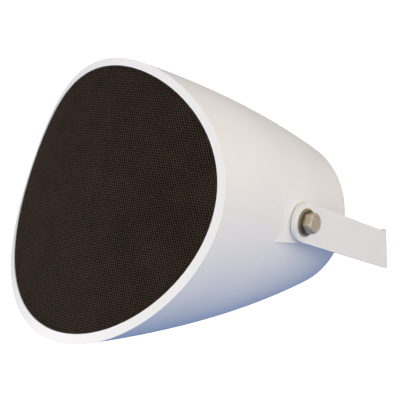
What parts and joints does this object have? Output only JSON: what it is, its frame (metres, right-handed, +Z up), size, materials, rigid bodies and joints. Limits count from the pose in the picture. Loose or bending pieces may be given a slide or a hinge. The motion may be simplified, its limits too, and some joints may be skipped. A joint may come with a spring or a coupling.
{
  "type": "projection speaker",
  "caption": "Weatherproof projection loudspeaker: a flared white housing with a scooped mouth and dark mesh grille, tilting on a U-shaped strip-steel bracket.",
  "frame": {"origin": "middle of the bracket's wall face, on the wall plane", "axes": "+Y into the wall, +Z up, +X to the left as the speaker faces; the mouth points towards -Y and 18 degrees up"},
  "size_m": [0.205, 0.2974, 0.2258],
  "materials": {
    "housing_white": "satin",
    "bracket_white": "satin",
    "grille_dark": "satin",
    "plated_fastener": "satin",
    "zinc_steel": "satin",
    "black_rubber": "matte",
    "foam_black": "matte",
    "black_plastic": "satin",
    "basket_black": "satin",
    "brass_plain": "satin",
    "ferrite": "matte",
    "cone_paper": "matte",
    "cap_cloth": "matte",
    "spider_cloth": "matte",
    "copper_wire": "satin",
    "core_steel": "matte",
    "terminal_ivory": "matte",
    "lead_red_pvc": "satin",
    "lead_black_pvc": "satin"
  },
  "bodies": {
    "bracket": {"mounting_bracket": "bracket_white"},
    "speaker": {"housing_shell": "housing_white", "front_grille": "grille_dark", "grille_foam": "foam_black", "baffle_ring": "black_plastic", "baffle_gasket": "black_rubber", "baffle_screws": "zinc_steel", "driver_basket": "basket_black", "driver_gasket": "black_rubber", "driver_screws": "zinc_steel", "cone_surround": "black_rubber", "spider": "spider_cloth", "top_plate": "zinc_steel", "ring_magnet": "ferrite", "t_yoke": "zinc_steel", "driver_terminals": "brass_plain", "transformer_core": "core_steel", "transformer_winding": "copper_wire", "transformer_strap": "zinc_steel", "transformer_screws": "zinc_steel", "terminal_block": "terminal_ivory", "terminal_block_screws": "zinc_steel", "lead_red": "lead_red_pvc", "lead_black": "lead_black_pvc", "gland_body": "black_plastic", "gland_seal": "black_rubber", "gland_dome_nut": "black_plastic", "gland_lock_nut": "black_plastic", "left_pivot_bolt": "plated_fastener", "right_pivot_bolt": "plated_fastener", "left_flat_washer": "plated_fastener", "right_flat_washer": "plated_fastener", "left_spring_washer": "plated_fastener", "right_spring_washer": "plated_fastener", "left_rubber_washer": "black_rubber", "right_rubber_washer": "black_rubber", "left_insert": "brass_plain", "right_insert": "brass_plain"},
    "cone_assembly": {"speaker_cone": "cone_paper", "dust_cap": "cap_cloth", "voice_coil": "copper_wire"}
  },
  "joints": [
    {"name": "tilt", "type": "hinge", "parent": "bracket", "child": "speaker", "pos_m": [0, -0.1254, 0.05824], "axis": [1, 0, 0], "range_deg": [-72, 108]},
    {"name": "cone_travel", "type": "slide", "parent": "speaker", "child": "cone_assembly", "axis": [0, -0.9511, 0.309], "range_m": [-0.003, 0.003], "stiffness_N_per_m": 1200, "deforming": ["cone_surround", "spider"]}
  ]
}
